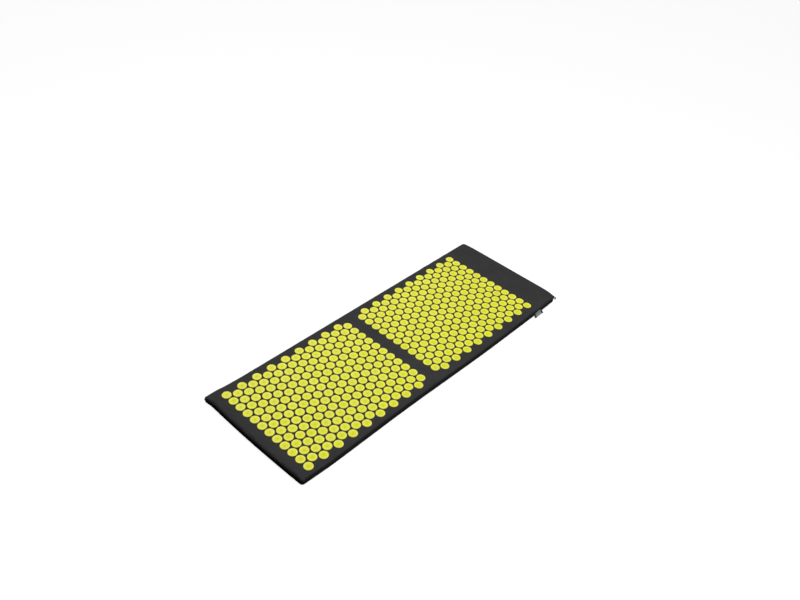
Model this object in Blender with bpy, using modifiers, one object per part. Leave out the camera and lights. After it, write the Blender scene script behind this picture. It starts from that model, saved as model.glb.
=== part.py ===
"""Acupressure mat: a foam mat in a zipped cloth cover, with two fields of spike discs.

Metres, +Z up. The origin is the middle of the mat's outline, on the floor. +X runs across
the mat, +Y along it to the head end, where the zip is. The mat folds at the bare strip
between its two fields, so each half has its own top cloth, underside cloth and foam.
"""

import math

import bmesh
import bpy
from mathutils import Matrix, Vector

# Spike discs and their two fields
disc_gap = 0.0051
disc_crown_inset = 0.0023
disc_height = 0.0040
discs_in_wide_row = 12
rows_in_field = 18
disc_sides = 8

# Bare cloth beside the fields, from the outermost disc centres
left_margin = 0.0383
right_margin = 0.0341
foot_margin = 0.0533
head_margin = 0.1420
fold_spacing = 0.0750

# Padded body
mat_width = 0.4629
mat_length = 1.3156
mat_thickness = 0.0275
cloth_thickness = 0.0012
corner_radius = 0.0130
edge_radius = 0.0080
corner_segments = 4
edge_segments = 4
round_profile = 0.5
corner_point_share = 0.80
seat_gap = 0.0003
cut_overrun = 0.0020
flat_angle = math.radians(0.5)
fold_clearance = 0.0005

# Zip along the head end
zip_end_margin = 0.0140
zip_window_height = 0.0112
tape_thickness = 0.0006
tape_edge_height = 0.0018
tape_tuck_angle = math.radians(50)
tape_tuck_segments = 3
tooth_pitch = 0.0040
tooth_root_width = 0.0011
tooth_head_width = 0.0020
tooth_root_height = 0.0016
tooth_tip_reach = 0.0009
teeth_depth = 0.0020
chain_half_height = 0.0030
end_box_length = 0.0030
top_stop_length = 0.0024
top_stop_height = 0.0017

# Slider
slider_length = 0.0120
slider_rear_height = 0.0088
slider_front_height = 0.0106
slider_plate_thickness = 0.0012
slider_channel_clearance = 0.0003
slider_neck_length = 0.0024
slider_neck_height = 0.0014
slider_corner = 0.0010
foam_zip_clearance = 0.0010
bridge_height = 0.0020
bridge_thickness = 0.0010
bridge_inner_length = 0.0034
bridge_inner_rise = 0.0026

# Pull
pull_length = 0.0290
pull_thickness = 0.0014
pull_bar = 0.0014
pull_root_height = 0.0076
pull_tip_height = 0.0110
pull_slot_height = 0.0040
pull_slot_end = 0.0042
pull_tip_radius = 0.0026
pull_hole_radius = 0.0022
pull_hole_from_tip = 0.0060
pull_hole_sides = 8
pull_end_segments = 6
pull_droop = math.radians(14)

# Side label
label_length = 0.0550
label_from_head = 0.1190
label_thickness = 0.0009
label_proud = 0.0118
label_drop = 0.0125
label_slot_clearance = 0.0003

# Places worked out from the sizes above
disc_pitch = (mat_width - left_margin - right_margin) / (discs_in_wide_row - 1)
field_length = (mat_length - foot_margin - head_margin - fold_spacing) / 2
row_spacing = field_length / (rows_in_field - 1)
disc_spacing = min(disc_pitch, math.hypot(disc_pitch / 2, row_spacing))
disc_radius = (disc_spacing - disc_gap) / 2
side_x = mat_width / 2
head_y = mat_length / 2
foot_y = -head_y
first_disc_x = left_margin - side_x
first_disc_y = foot_y + foot_margin
fold_y = first_disc_y + field_length + fold_spacing / 2
seam_z = mat_thickness / 2
disc_top_z = mat_thickness + disc_height
fold_axis_z = disc_top_z + fold_clearance

zip_half_length = side_x - zip_end_margin
tape_outer_y = head_y - cloth_thickness - seat_gap
teeth_inner_y = tape_outer_y + seat_gap
teeth_outer_y = teeth_inner_y + teeth_depth
slider_plate_y = teeth_outer_y + slider_channel_clearance
slider_outer_y = slider_plate_y + slider_plate_thickness
slider_inner_y = tape_outer_y - tape_thickness - slider_channel_clearance
slider_back_y = slider_inner_y - slider_plate_thickness
tape_tuck_radius = edge_radius - cloth_thickness - seat_gap
tape_bend_y = head_y - edge_radius
tape_inner_y = tape_bend_y + (tape_tuck_radius - tape_thickness) * math.cos(tape_tuck_angle)
foam_head_y = min(slider_back_y, tape_inner_y) - foam_zip_clearance
slider_front_x = zip_half_length - seat_gap
slider_rear_x = slider_front_x - slider_length
neck_front_x = slider_front_x - slider_corner
neck_rear_x = neck_front_x - slider_neck_length
teeth_right_x = neck_rear_x - seat_gap
teeth_left_x = -zip_half_length + end_box_length + 2 * seat_gap
bridge_x = (slider_rear_x + slider_front_x) / 2
pull_axis_y = slider_outer_y + bridge_inner_rise / 2


def clear_scene():
    """Remove whatever the file holds."""
    for item in list(bpy.data.objects):
        bpy.data.objects.remove(item, do_unlink=True)
    for group in list(bpy.data.collections):
        bpy.data.collections.remove(group)


def new_collection(name):
    """Make a collection in the scene."""
    group = bpy.data.collections.new(name)
    bpy.context.scene.collection.children.link(group)
    return group


def new_material(name, colour, roughness, metallic=0.0):
    """Make a Principled material from a colour, a roughness and a metallic value."""
    material = bpy.data.materials.new(name)
    material.use_nodes = True
    shader = material.node_tree.nodes["Principled BSDF"]
    shader.inputs["Base Color"].default_value = (*colour, 1.0)
    shader.inputs["Roughness"].default_value = roughness
    shader.inputs["Metallic"].default_value = metallic
    material.diffuse_color = (*colour, 1.0)
    return material


def object_from_bmesh(name, shape, material, group):
    """Turn a bmesh into an object in a collection."""
    mesh = bpy.data.meshes.new(name)
    shape.to_mesh(mesh)
    shape.free()
    mesh.materials.append(material)
    item = bpy.data.objects.new(name, mesh)
    group.objects.link(item)
    return item


def as_cutter(item):
    """Hide a shape that only cuts or joins another."""
    item.hide_render = True
    item.display_type = "WIRE"
    return item


def combine(item, other, operation):
    """Add an exact Boolean with another object."""
    step = item.modifiers.new(operation.lower() + "_" + other.name, "BOOLEAN")
    step.operation = operation
    step.solver = "EXACT"
    step.material_mode = "TRANSFER"
    step.object = other


def box_bmesh(low, high):
    """A box between two corners."""
    shape = bmesh.new()
    bmesh.ops.create_cube(shape, size=1.0)
    centre = (Vector(low) + Vector(high)) / 2
    size = Vector(high) - Vector(low)
    place = Matrix.Translation(centre) @ Matrix.Diagonal((*size, 1.0))
    bmesh.ops.transform(shape, matrix=place, verts=shape.verts)
    return shape


def box_cutter(name, low, high, material, group):
    """A box that cuts or joins another shape."""
    return as_cutter(object_from_bmesh(name, box_bmesh(low, high), material, group))


def spans(edge, axis):
    """Whether an edge runs along one axis."""
    run = (edge.verts[1].co - edge.verts[0].co).normalized()
    return abs(run[axis]) > math.cos(math.radians(1))


def padded_slab(low, high, rounded_end, corner, edge, round_top, round_underside):
    """A slab with two round corners at one end of Y and soft edges there and along X."""
    shape = box_bmesh(low, high)
    end_y = high[1] if rounded_end > 0 else low[1]
    open_y = low[1] if rounded_end > 0 else high[1]
    middle_z = (low[2] + high[2]) / 2
    near = seat_gap / 2
    corners = [e for e in shape.edges if spans(e, 2) and abs(e.verts[0].co.y - end_y) < near]
    bmesh.ops.bevel(shape, geom=corners, offset=corner, segments=corner_segments,
                    profile=round_profile, affect="EDGES", clamp_overlap=False)

    def is_soft(line):
        """Whether an edge lies round the top or the underside, but not at the fold."""
        first, second = (vert.co for vert in line.verts)
        if abs(first.z - second.z) > near:
            return False
        if abs(first.y - open_y) < near and abs(second.y - open_y) < near:
            return False
        return round_top if first.z > middle_z else round_underside

    soft = [line for line in shape.edges if is_soft(line)]
    bmesh.ops.bevel(shape, geom=soft, offset=edge, segments=edge_segments,
                    profile=round_profile, affect="EDGES", clamp_overlap=False)
    return shape


def draw_out_corners(shape, end_y):
    """Draw a cover's two round corners out to points, less over its soft edge."""
    centre_x = side_x - corner_radius
    centre_y = abs(end_y) - corner_radius
    outward = 1 if end_y > 0 else -1
    for vert in shape.verts:
        from_x = abs(vert.co.x) - centre_x
        from_y = outward * vert.co.y - centre_y
        if min(from_x, from_y) < seat_gap:
            continue
        to_point = math.hypot(from_x, from_y) / max(from_x, from_y) - 1
        below_face = (mat_thickness / 2 - abs(vert.co.z - seam_z)) / edge_radius
        growth = 1 + corner_point_share * min(1, below_face) * to_point
        vert.co.x = math.copysign(centre_x + from_x * growth, vert.co.x)
        vert.co.y = outward * (centre_y + from_y * growth)


def settle(shape, level):
    """Put every point that lies at a level exactly on it, so that flat faces meet."""
    for vert in shape.verts:
        if abs(vert.co.z - level) < seat_gap / 2:
            vert.co.z = level


def remove_faces(shape, test):
    """Open a shape by taking away the faces that a test names."""
    gone = [face for face in shape.faces if test(face)]
    bmesh.ops.delete(shape, geom=gone, context="FACES")


def half_cover(name, end, upper, cloth, group):
    """Top or underside cloth of one half: a tray open at the seam and at the fold."""
    near = seat_gap / 2
    fold_edge_y = fold_y + end * near
    end_y = head_y if end > 0 else foot_y
    low = [-side_x, min(fold_edge_y, end_y), seam_z + near if upper else 0]
    high = [side_x, max(fold_edge_y, end_y), mat_thickness if upper else seam_z - near]
    seam_level = low[2] if upper else high[2]
    shape = padded_slab(low, high, end, corner_radius, edge_radius, upper, not upper)
    remove_faces(shape, lambda face: abs(face.calc_center_median().y - fold_edge_y) < near / 2)
    remove_faces(shape, lambda face: all(abs(v.co.z - seam_level) < near / 2 for v in face.verts))
    settle(shape, mat_thickness)
    draw_out_corners(shape, end_y)
    cover = object_from_bmesh(name, shape, cloth, group)
    skin = cover.modifiers.new("cloth", "SOLIDIFY")
    skin.thickness = cloth_thickness
    skin.offset = -1
    skin.use_even_offset = True
    return cover


def half_foam(name, end, foam, group):
    """Foam of one half, a soft-edged slab that fills its cover."""
    inset = cloth_thickness + seat_gap
    fold_edge_y = fold_y + end * seat_gap / 2
    end_y = foam_head_y if end > 0 else foot_y + inset
    low = [inset - side_x, min(fold_edge_y, end_y), inset]
    high = [side_x - inset, max(fold_edge_y, end_y), mat_thickness - inset]
    shape = padded_slab(low, high, end, corner_radius - inset, edge_radius - inset, True, True)
    return object_from_bmesh(name, shape, foam, group)


def disc_centres(end):
    """Centres of one field's discs. Rows of 12 and 11 take turns, widest at the mat's ends."""
    centres = []
    for row in range(rows_in_field):
        narrow = row % 2
        across = first_disc_x + narrow * disc_pitch / 2
        along = row * row_spacing
        if end > 0:
            centre_y = head_y - head_margin - along
        else:
            centre_y = first_disc_y + along
        for place in range(discs_in_wide_row - narrow):
            centres.append((across + place * disc_pitch, centre_y))
    return centres


def disc_field(name, end, plastic, group):
    """All discs of one half, each a round base that narrows to its crown, flat on the cloth."""
    shape = bmesh.new()
    turn = Matrix.Rotation(math.pi / disc_sides, 4, "Z")
    for centre_x, centre_y in disc_centres(end):
        place = Matrix.Translation((centre_x, centre_y, mat_thickness + disc_height / 2)) @ turn
        bmesh.ops.create_cone(shape, cap_ends=True, segments=disc_sides, depth=disc_height,
                              radius1=disc_radius, radius2=disc_radius - disc_crown_inset,
                              matrix=place)
    settle(shape, mat_thickness)
    return as_cutter(object_from_bmesh(name, shape, plastic, group))


def extruded_outline(name, loops, level_from, level_to, material, group):
    """A flat outline in X and Z, as a filled 2D curve, given thickness along Y."""
    outline = bpy.data.curves.new(name, "CURVE")
    outline.dimensions = "2D"
    outline.fill_mode = "BOTH"
    outline.extrude = (level_to - level_from) / 2
    for points in loops:
        line = outline.splines.new("POLY")
        line.points.add(len(points) - 1)
        for slot, (across, up) in zip(line.points, points):
            slot.co = (across, up, 0, 1)
        line.use_cyclic_u = True
    outline.materials.append(material)
    item = bpy.data.objects.new(name, outline)
    item.location = (0, (level_from + level_to) / 2, 0)
    item.rotation_euler = (math.radians(90), 0, 0)
    group.objects.link(item)
    return item


def mesh_from_curve(item, group):
    """Replace a curve object by a mesh of the same shape, with its caps welded."""
    bpy.context.view_layer.update()
    graph = bpy.context.evaluated_depsgraph_get()
    mesh = bpy.data.meshes.new_from_object(item.evaluated_get(graph))
    shape = bmesh.new()
    shape.from_mesh(mesh)
    bmesh.ops.remove_doubles(shape, verts=shape.verts, dist=seat_gap / 100)
    bmesh.ops.dissolve_limit(shape, angle_limit=flat_angle, verts=shape.verts, edges=shape.edges)
    bmesh.ops.recalc_face_normals(shape, faces=shape.faces)
    shape.to_mesh(mesh)
    shape.free()
    solid = bpy.data.objects.new(item.name, mesh)
    solid.matrix_world = item.matrix_world.copy()
    name = item.name
    bpy.data.objects.remove(item, do_unlink=True)
    solid.name = name
    group.objects.link(solid)
    return solid


def zip_tape(name, side, fabric, group):
    """One tape: flat beside the teeth, then tucked round inside the cover's soft edge."""
    bend_height = seam_z - edge_radius
    profile = [(tape_outer_y, tape_edge_height), (tape_outer_y, bend_height)]
    for step in range(1, tape_tuck_segments + 1):
        angle = tape_tuck_angle * step / tape_tuck_segments
        profile.append((tape_bend_y + tape_tuck_radius * math.cos(angle),
                        bend_height + tape_tuck_radius * math.sin(angle)))
    shape = bmesh.new()
    left = [shape.verts.new((-zip_half_length, y, seam_z + side * up)) for y, up in profile]
    edges = [shape.edges.new(pair) for pair in zip(left, left[1:])]
    swept = bmesh.ops.extrude_edge_only(shape, edges=edges)
    moved = [part for part in swept["geom"] if isinstance(part, bmesh.types.BMVert)]
    bmesh.ops.translate(shape, verts=moved, vec=(2 * zip_half_length, 0, 0))
    shape.normal_update()
    inward = [face for face in shape.faces if face.normal.y < 0 or face.normal.z * side < 0]
    bmesh.ops.reverse_faces(shape, faces=inward)
    tape = object_from_bmesh(name, shape, fabric, group)
    body = tape.modifiers.new("tape", "SOLIDIFY")
    body.thickness = tape_thickness
    body.offset = -1
    body.use_even_offset = True
    return tape


def teeth_row(name, side, plastic, group):
    """One row of moulded teeth on its cord, flared so that they lock with the other row's."""
    shift = 0 if side > 0 else tooth_pitch / 2
    count = int((teeth_right_x - teeth_left_x) / tooth_pitch - 0.5)
    used = count * tooth_pitch + tooth_pitch / 2
    start = teeth_left_x + (teeth_right_x - teeth_left_x - used) / 2 + tooth_pitch / 2 + shift
    points = [(teeth_left_x, seam_z + side * chain_half_height)]
    points.append((teeth_left_x, seam_z + side * tooth_root_height))
    for tooth in range(count):
        middle = start + tooth * tooth_pitch
        for reach_x, up in ((-tooth_root_width / 2, tooth_root_height),
                            (-tooth_head_width / 2, -tooth_tip_reach),
                            (tooth_head_width / 2, -tooth_tip_reach),
                            (tooth_root_width / 2, tooth_root_height)):
            points.append((middle + reach_x, seam_z + side * up))
    points.append((teeth_right_x, seam_z + side * tooth_root_height))
    points.append((teeth_right_x, seam_z + side * chain_half_height))
    return extruded_outline(name, [points], teeth_inner_y, teeth_outer_y, plastic, group)


def zip_stops(metal, group):
    """The end box that joins both rows, and the two stops that the slider closes on."""
    left = -zip_half_length + seat_gap
    box = box_bmesh((left, teeth_inner_y, seam_z - chain_half_height),
                    (left + end_box_length, teeth_outer_y, seam_z + chain_half_height))
    object_from_bmesh("zip_end_box", box, metal, group)
    for name, side in (("zip_top_stop_upper", 1), ("zip_top_stop_lower", -1)):
        outer = seam_z + side * chain_half_height
        inner = outer - side * top_stop_height
        stop = box_bmesh((neck_rear_x, teeth_inner_y, min(inner, outer)),
                         (neck_rear_x + top_stop_length, teeth_outer_y, max(inner, outer)))
        object_from_bmesh(name, stop, metal, group)


def slider_outline(clearance):
    """The slider's shield outline, wide at the front where the rows part."""
    rear = slider_rear_height / 2 - clearance
    front = slider_front_height / 2 - clearance
    shoulder_x = (slider_rear_x + slider_front_x) / 2
    return [(slider_rear_x, seam_z - rear + slider_corner),
            (slider_rear_x + slider_corner, seam_z - rear),
            (shoulder_x, seam_z - rear),
            (slider_front_x - 3 * slider_corner, seam_z - front),
            (slider_front_x - slider_corner, seam_z - front),
            (slider_front_x, seam_z - front + slider_corner),
            (slider_front_x, seam_z + front - slider_corner),
            (slider_front_x - slider_corner, seam_z + front),
            (slider_front_x - 3 * slider_corner, seam_z + front),
            (shoulder_x, seam_z + rear),
            (slider_rear_x + slider_corner, seam_z + rear),
            (slider_rear_x, seam_z + rear - slider_corner)]


def zip_slider(metal, group, cutters):
    """Two plates round the teeth, joined by a neck at the front, with a bridge for the pull."""
    block = extruded_outline("zip_slider", [slider_outline(0)], slider_back_y, slider_outer_y,
                             metal, group)
    slider = mesh_from_curve(block, group)
    far = cut_overrun
    channel_half = chain_half_height + slider_channel_clearance
    channel = box_cutter("slider_channel",
                         (slider_rear_x - far, tape_outer_y, seam_z - channel_half),
                         (slider_front_x + far, slider_plate_y, seam_z + channel_half),
                         metal, cutters)
    tape_way_y = tape_outer_y + seat_gap
    tape_way = box_cutter("slider_tape_way",
                          (slider_rear_x - far, slider_inner_y, seam_z - slider_front_height),
                          (slider_front_x + far, tape_way_y, seam_z + slider_front_height),
                          metal, cutters)
    sink = slider_plate_thickness / 2
    neck = box_cutter("slider_neck",
                      (neck_rear_x, slider_inner_y - sink, seam_z - slider_neck_height / 2),
                      (neck_front_x, slider_plate_y + sink, seam_z + slider_neck_height / 2),
                      metal, cutters)
    inside = bridge_inner_length / 2
    outside = inside + bridge_thickness
    foot_level = slider_outer_y - sink
    inner_level = slider_outer_y + bridge_inner_rise
    outer_level = inner_level + bridge_thickness
    bevel = bridge_thickness / 2
    half_loop = [(inside, inner_level), (inside, foot_level), (outside, foot_level),
                 (outside, outer_level - bevel), (outside - bevel, outer_level)]
    bridge_loop = [(bridge_x + x, y) for x, y in half_loop]
    bridge_loop += [(bridge_x - x, y) for x, y in reversed(half_loop)]
    arch = extruded_outline("slider_bridge", [bridge_loop], -bridge_height / 2,
                            bridge_height / 2, metal, cutters)
    arch.rotation_euler = (0, 0, 0)
    arch.location = (0, 0, seam_z)
    arch = as_cutter(mesh_from_curve(arch, cutters))
    combine(slider, channel, "DIFFERENCE")
    combine(slider, tape_way, "DIFFERENCE")
    combine(slider, neck, "UNION")
    combine(slider, arch, "UNION")
    return slider


def zip_pull(metal, group):
    """A flat pull whose end bar lies under the slider's bridge, with its tab past the corner.

    It hangs askew in its slot, so that its tip droops towards the floor. The end that swings
    under the bridge is round, so that it clears the slider's plate all the way.
    """
    bar = pull_bar / 2
    root = pull_root_height / 2
    tip = pull_tip_height / 2
    slot = pull_slot_height / 2
    end = pull_length - pull_bar / 2
    outer = []
    for step in range(pull_end_segments + 1):
        turn = math.pi / 2 + math.pi * step / pull_end_segments
        outer.append((root - bar + root * math.cos(turn), root * math.sin(turn)))
    outer += [(end - pull_tip_radius, -tip), (end, pull_tip_radius - tip),
              (end, tip - pull_tip_radius), (end - pull_tip_radius, tip)]
    inner = [(bar, -slot), (pull_slot_end, -slot), (pull_slot_end, slot), (bar, slot)]
    turns = [2 * math.pi * (side + 0.5) / pull_hole_sides for side in range(pull_hole_sides)]
    hole = [(end - pull_hole_from_tip + pull_hole_radius * math.cos(turn),
             pull_hole_radius * math.sin(turn)) for turn in turns]
    cos, sin = math.cos(pull_droop), math.sin(pull_droop)
    loops = [[(bridge_x + x * cos + z * sin, seam_z + z * cos - x * sin) for x, z in loop]
             for loop in (outer, inner, hole)]
    return extruded_outline("zip_pull", loops, pull_axis_y - pull_thickness / 2,
                            pull_axis_y + pull_thickness / 2, metal, group)


def side_label(ribbon, group, cutters):
    """A folded ribbon sewn into the right side's seam, which hangs down to the floor."""
    middle_y = head_y - label_from_head
    near_y = middle_y - label_length / 2
    reach_shares = (0, 0.16, 0.26, 0.44, 0.70, 1.0)
    drop_shares = (0, 0.14, 0.44, 0.76, 0.93, 1.0)
    profile = [(side_x - cloth_thickness, seam_z)]
    profile += [(side_x + label_proud * reach, seam_z - label_drop * drop)
                for reach, drop in zip(reach_shares, drop_shares)]
    shape = bmesh.new()
    near = [shape.verts.new((x, near_y, z)) for x, z in profile]
    edges = [shape.edges.new(pair) for pair in zip(near, near[1:])]
    swept = bmesh.ops.extrude_edge_only(shape, edges=edges)
    moved = [part for part in swept["geom"] if isinstance(part, bmesh.types.BMVert)]
    bmesh.ops.translate(shape, verts=moved, vec=(0, label_length, 0))
    bmesh.ops.recalc_face_normals(shape, faces=shape.faces)
    label = object_from_bmesh("side_label", shape, ribbon, group)
    body = label.modifiers.new("ribbon", "SOLIDIFY")
    body.thickness = label_thickness
    body.offset = 0
    body.use_even_offset = True
    room = label_slot_clearance
    high = label_thickness / 2 + room
    return box_cutter("label_slot",
                      (side_x - cloth_thickness - room, near_y - room, seam_z - high),
                      (side_x + cut_overrun, near_y + label_length + room, seam_z + high),
                      ribbon, cutters)


def carry_on_axis(name, place, carried, group):
    """An empty on a joint's axis, which carries what moves about it or along it."""
    axis = bpy.data.objects.new(name, None)
    axis.location = place
    group.objects.link(axis)
    bpy.context.view_layer.update()
    for item in carried:
        item.parent = axis
        item.matrix_parent_inverse = axis.matrix_world.inverted()
    return axis


def main():
    """Build every piece of the mat."""
    clear_scene()
    group = new_collection("acupressure_mat")
    cutters = new_collection("cutters")
    cloth = new_material("charcoal cotton", (0.045, 0.045, 0.048), 0.9)
    plastic = new_material("yellow plastic", (0.76, 0.80, 0.03), 0.4)
    foam = new_material("grey foam", (0.42, 0.42, 0.40), 0.95)
    tape_cloth = new_material("black zip tape", (0.015, 0.015, 0.016), 0.85)
    zip_plastic = new_material("black zip teeth", (0.020, 0.020, 0.022), 0.45)
    metal = new_material("black lacquered metal", (0.030, 0.030, 0.032), 0.35, 1.0)
    ribbon = new_material("grey ribbon", (0.30, 0.34, 0.31), 0.8)

    label_slot = side_label(ribbon, group, cutters)
    window = box_cutter("zip_window",
                        (-zip_half_length - seat_gap, head_y - edge_radius,
                         seam_z - zip_window_height / 2),
                        (zip_half_length + seat_gap, head_y + cut_overrun,
                         seam_z + zip_window_height / 2),
                        cloth, cutters)
    for half, end in (("foot", -1), ("head", 1)):
        for level, upper in (("top", True), ("underside", False)):
            cover = half_cover(half + "_" + level + "_cloth", end, upper, cloth, group)
            if end > 0:
                combine(cover, window, "DIFFERENCE")
                combine(cover, label_slot, "DIFFERENCE")
            if upper:
                field = disc_field(half + "_discs", end, plastic, cutters)
                combine(cover, field, "UNION")
        half_foam(half + "_foam", end, foam, group)

    for name, side in (("upper", 1), ("lower", -1)):
        zip_tape("zip_tape_" + name, side, tape_cloth, group)
        teeth_row("zip_teeth_" + name, side, zip_plastic, group)
    zip_stops(metal, group)
    slider = zip_slider(metal, group, cutters)
    pull = zip_pull(metal, group)
    foot_half = [item for item in group.objects if item.name.startswith("foot_")]
    carry_on_axis("fold_axis", (0, fold_y, fold_axis_z), foot_half, group)
    swing = carry_on_axis("pull_swing_axis", (bridge_x, pull_axis_y, seam_z), [pull], group)
    carry_on_axis("zip_slide_axis", (bridge_x, slider_outer_y, seam_z), [slider, swing], group)


main()
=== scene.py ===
"""Acupressure mat: the looks of a foam mat in a zipped cotton cover with two fields of spike discs.

Metres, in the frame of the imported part: +X across the mat, +Y along it to the head end with
the zip, +Z up, and the floor at zero. The camera and the light come first, then the finishes,
then the pieces: cover, foam, spike discs, zip and side label.
"""

import math

import bpy
import numpy as np
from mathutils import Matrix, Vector


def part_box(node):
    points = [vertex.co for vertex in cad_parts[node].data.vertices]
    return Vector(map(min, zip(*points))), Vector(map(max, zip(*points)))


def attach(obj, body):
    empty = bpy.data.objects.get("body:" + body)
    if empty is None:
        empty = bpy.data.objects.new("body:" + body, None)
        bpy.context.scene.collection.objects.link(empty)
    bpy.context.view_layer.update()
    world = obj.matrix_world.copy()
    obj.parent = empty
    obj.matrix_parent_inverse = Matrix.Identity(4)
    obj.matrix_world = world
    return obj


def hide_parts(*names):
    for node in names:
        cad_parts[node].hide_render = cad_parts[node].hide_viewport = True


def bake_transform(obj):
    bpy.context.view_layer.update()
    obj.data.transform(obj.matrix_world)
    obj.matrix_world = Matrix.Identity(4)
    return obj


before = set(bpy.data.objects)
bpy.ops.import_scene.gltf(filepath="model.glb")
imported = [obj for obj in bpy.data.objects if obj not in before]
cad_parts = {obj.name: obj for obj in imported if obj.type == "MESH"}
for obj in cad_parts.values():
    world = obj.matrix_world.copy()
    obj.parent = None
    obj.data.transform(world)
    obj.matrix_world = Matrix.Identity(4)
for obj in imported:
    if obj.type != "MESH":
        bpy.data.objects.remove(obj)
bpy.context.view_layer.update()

# Spike discs
disc_pitch = 0.0355
disc_radius = 0.0158
disc_height = 0.0040
disc_sink = 0.0003
discs_in_wide_row = 12
rows_in_field = 18
left_margin = 0.0383
foot_margin = 0.0533
head_margin = 0.1420
plate_height = 0.0011
plate_edge_height = 0.0009
plate_foot_inset = 0.0002
rim_height = 0.0017
rim_width = 0.0022
rim_section_shares = ((0.25, 0.92), (0.55, 1.0))
plate_segments = 20
spike_foot_radius = 0.00140
spike_waist_radius = 0.00080
spike_tip_radius = 0.00014
spike_sunk_share = 0.5
spike_waist_share = 0.38
spike_segments = 6
spike_rings = ((0.0, 1), (0.0056, 8), (0.0112, 18))
disc_crease_angle = math.radians(66)
# Disc tone: a random shade for each disc plus painted glare, paler towards the left side and the
# foot end
tone_in_middle = 0.42
painted_glare_across = -0.34
painted_glare_along = -0.22
tone_spread = 0.16

# Cotton cover
cloth_thickness = 0.0012
skin_share = 0.6
edge_radius = 0.0055
side_edge_radius = 0.0060
foot_edge_radius = 0.0085
underside_edge_radius = 0.0042
edge_change_reach = 0.0300
left_lean_at_foot = -0.0014
left_lean_at_head = 0.0013
right_lean_at_foot = -0.0023
right_lean_at_head = 0.0078
right_lean_from = 0.28
right_lean_to = 0.72
foot_bow_middle = 0.0019
foot_bow_drop = 0.0056
foot_bow_skew = 0.0012
foot_bow_skew_turn = 1.57
lean_reach = 0.0300
corner_reach = 0.0340
corner_ear_reach = 0.0240
corner_ear_top_share = 0.55
corner_growth_power = 0.6
seam_pull = 0.0012
seam_swell = 0.0032
seam_bulge_shares = (0.25, 0.45)
edge_steps = 6
cloth_cell = 0.0085
fold_cell = 0.0036
fold_reach = 0.0210
fold_fine_reach = 1.2 * fold_reach
foot_corner_pinch = 0.08
head_corner_pinch = 0.30
corner_pinch_reach = 0.030
yarn_pitch = 0.00062

# How the cover swells over the foam
simulated_steps = 20
held_past_disc = 0.003
held_past_zip = 0.002
flat_face_share = 0.98
start_ripple = 0.00012
swell_distances = (0.0, 0.006, 0.030)
swell_limits = (0.0003, 0.0009, 0.0022)
inward_limit = 0.0004

# Corners: radius at seam, radius at flat faces, side drawn out, end drawn out, reach along the side
foot_left_corner = (0.0005, 0.0060, 0.0072, 0.0084, 0.0780)
foot_right_corner = (0.0060, 0.0120, -0.0050, 0.0000, 0.0780)
head_left_corner = (0.0005, 0.0138, 0.0020, 0.0028, 0.0240)
head_right_corner = (0.0220, 0.0230, 0.0000, 0.0000, 0.0240)

# Zip
zip_end_margin = 0.0140
zip_window_height = 0.0056
tape_setback = 0.0015
tape_inner_height = 0.0018
tape_middle_height = 0.0032
tape_tuck_angle = math.radians(58)
tape_tuck_steps = 5
tape_columns = 120
tape_thickness = 0.0006
stitch_length = 0.0026
stitch_pitch = 0.0034
stitch_radius = 0.00028
stitch_from_edge = 0.0015
stitch_proud_share = 0.2
stitch_dip_share = 0.9
stitch_sides = 6
stitch_girth_shares = ((0.0, 0.25), (0.15, 0.8), (0.5, 1.0), (0.85, 0.8), (1.0, 0.25))
weld_distance = 0.00001
round_off_angle = math.radians(25)

# Side label
label_length = 0.0530
label_from_head = 0.1240
label_proud = 0.0108
label_drop = 0.0118
label_end_band = 0.0100
label_ply = 0.00034
label_ply_gap = 0.00050
label_reach_shares = (0, 0.09, 0.16, 0.20, 0.26, 0.34, 0.44, 0.56, 0.70, 0.85, 1.0)
label_drop_shares = (0, 0.04, 0.14, 0.28, 0.46, 0.63, 0.77, 0.87, 0.94, 0.98, 1.0)
label_root_gap_share = 0.55
label_curl = 0.0007
label_curl_turn = 0.6
label_columns = 24

# Foam core
foam_gap = 0.0004
foam_zip_setback = 0.0054
foam_cell = 0.0140

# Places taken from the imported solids
foot_low, foot_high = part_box("foot_top_cloth")
head_low, head_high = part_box("head_top_cloth")
side_x = head_high.x
foot_y = foot_low.y
head_y = head_high.y
fold_y = (foot_high.y + head_low.y) / 2
disc_top_z = head_high.z
cloth_top_z = disc_top_z - disc_height
seam_z = (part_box("head_underside_cloth")[1].z + head_low.z) / 2
zip_half_length = side_x - zip_end_margin


def build_camera():
    """The photograph's view: place, turn and lens found from the grid of discs."""
    data = bpy.data.cameras.new("photo_camera")
    data.lens = 34.319
    data.sensor_width = 36.0
    data.clip_start = 0.05
    data.clip_end = 50.0
    camera = bpy.data.objects.new("photo_camera", data)
    camera.location = (1.26114, -1.57597, 1.85313)
    camera.rotation_euler = [math.radians(turn) for turn in (50.7259, -4.7854, 42.8573)]
    bpy.context.scene.collection.objects.link(camera)
    bpy.context.scene.camera = camera


def area_light(name, place, aim, width, height, power):
    """A rectangular soft box at a place, turned towards an aim."""
    data = bpy.data.lights.new(name, "AREA")
    data.shape = "RECTANGLE"
    data.size = width
    data.size_y = height
    data.energy = power
    lamp = bpy.data.objects.new(name, data)
    lamp.location = place
    lamp.rotation_euler = (Vector(aim) - Vector(place)).to_track_quat("-Z", "Y").to_euler()
    bpy.context.scene.collection.objects.link(lamp)


def seen_directly(tree):
    """A socket that is 1 for camera, glossy and transmission rays, and 0 for the rest."""
    path = tree.nodes.new("ShaderNodeLightPath")
    first = tree.nodes.new("ShaderNodeMath")
    first.operation = "MAXIMUM"
    tree.links.new(path.outputs["Is Camera Ray"], first.inputs[0])
    tree.links.new(path.outputs["Is Glossy Ray"], first.inputs[1])
    second = tree.nodes.new("ShaderNodeMath")
    second.operation = "MAXIMUM"
    tree.links.new(first.outputs[0], second.inputs[0])
    tree.links.new(path.outputs["Is Transmission Ray"], second.inputs[1])
    return second.outputs[0]


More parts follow.
